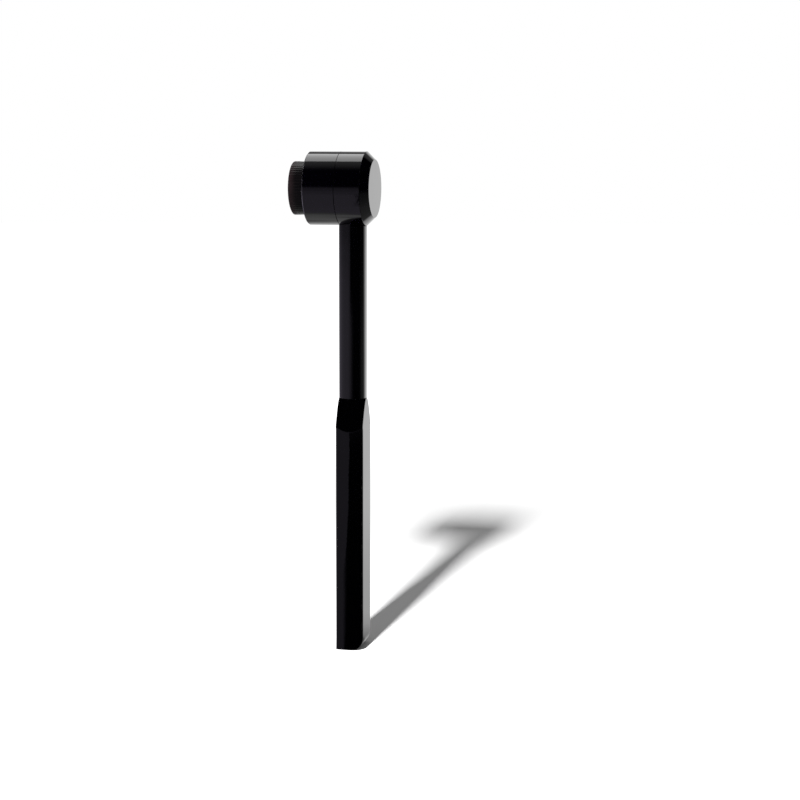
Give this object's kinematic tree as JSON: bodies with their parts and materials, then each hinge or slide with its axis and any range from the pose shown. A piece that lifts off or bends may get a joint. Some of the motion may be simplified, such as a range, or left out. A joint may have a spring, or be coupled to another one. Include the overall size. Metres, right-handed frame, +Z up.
{
  "type": "reflex hammer",
  "caption": "Upright percussion hammer: cylindrical cross head with a hard chamfered end and a ribbed rubber tip, on a round shaft with a flat-sided grip.",
  "frame": {"origin": "middle of the butt face that the hammer stands on, on the handle's axis", "axes": "+Z up the handle to the head, +X along the head towards the hard chamfered end, -X towards the rubber tip, -Y to the front"},
  "size_m": [0.0338, 0.03, 0.206],
  "materials": {
    "head_black": "high gloss black lacquer",
    "sleeve_black": "high gloss black lacquer",
    "seam_fibre": "matt black fibre",
    "screw_steel": "blackened steel",
    "shaft_black": "high gloss black lacquer",
    "grip_black": "polished black",
    "insert_brass": "machined",
    "tip_rubber": "matt, fine ribs",
    "stud_steel": "zinc plated",
    "bush_brass": "machined",
    "washer_fibre": "red fibre"
  },
  "bodies": {
    "handle_and_block": {"striking_block": "head_black", "shaft_lock_screw": "screw_steel", "shaft": "shaft_black", "grip": "grip_black", "grip_insert": "insert_brass"},
    "sleeve_carrier": {"seam_washer": "seam_fibre"},
    "sleeve": {"barrel_sleeve": "sleeve_black", "tip_bush": "bush_brass"},
    "tip_carrier": {"tip_washer": "washer_fibre"},
    "tip": {"striking_tip": "tip_rubber", "tip_stud": "stud_steel"}
  },
  "joints": [
    {"name": "sleeve_travel", "type": "slide", "parent": "handle_and_block", "child": "sleeve_carrier", "axis": [-1, 0, 0], "range_m": [0, 0.007]},
    {"name": "sleeve_turn", "type": "hinge", "parent": "sleeve_carrier", "child": "sleeve", "pos_m": [-0.011, 0, 0.191], "axis": [-1, 0, 0], "range_deg": [0, 2520]},
    {"name": "tip_travel", "type": "slide", "parent": "sleeve", "child": "tip_carrier", "axis": [-1, 0, 0], "range_m": [0, 0.0055]},
    {"name": "tip_turn", "type": "hinge", "parent": "tip_carrier", "child": "tip", "pos_m": [-0.02, 0, 0.191], "axis": [-1, 0, 0], "range_deg": [0, 1980]}
  ],
  "couplings": [
    {"joint": "sleeve_turn", "follows": "sleeve_travel", "rad_per_m": 6283.2},
    {"joint": "tip_turn", "follows": "tip_travel", "rad_per_m": 6283.2}
  ]
}
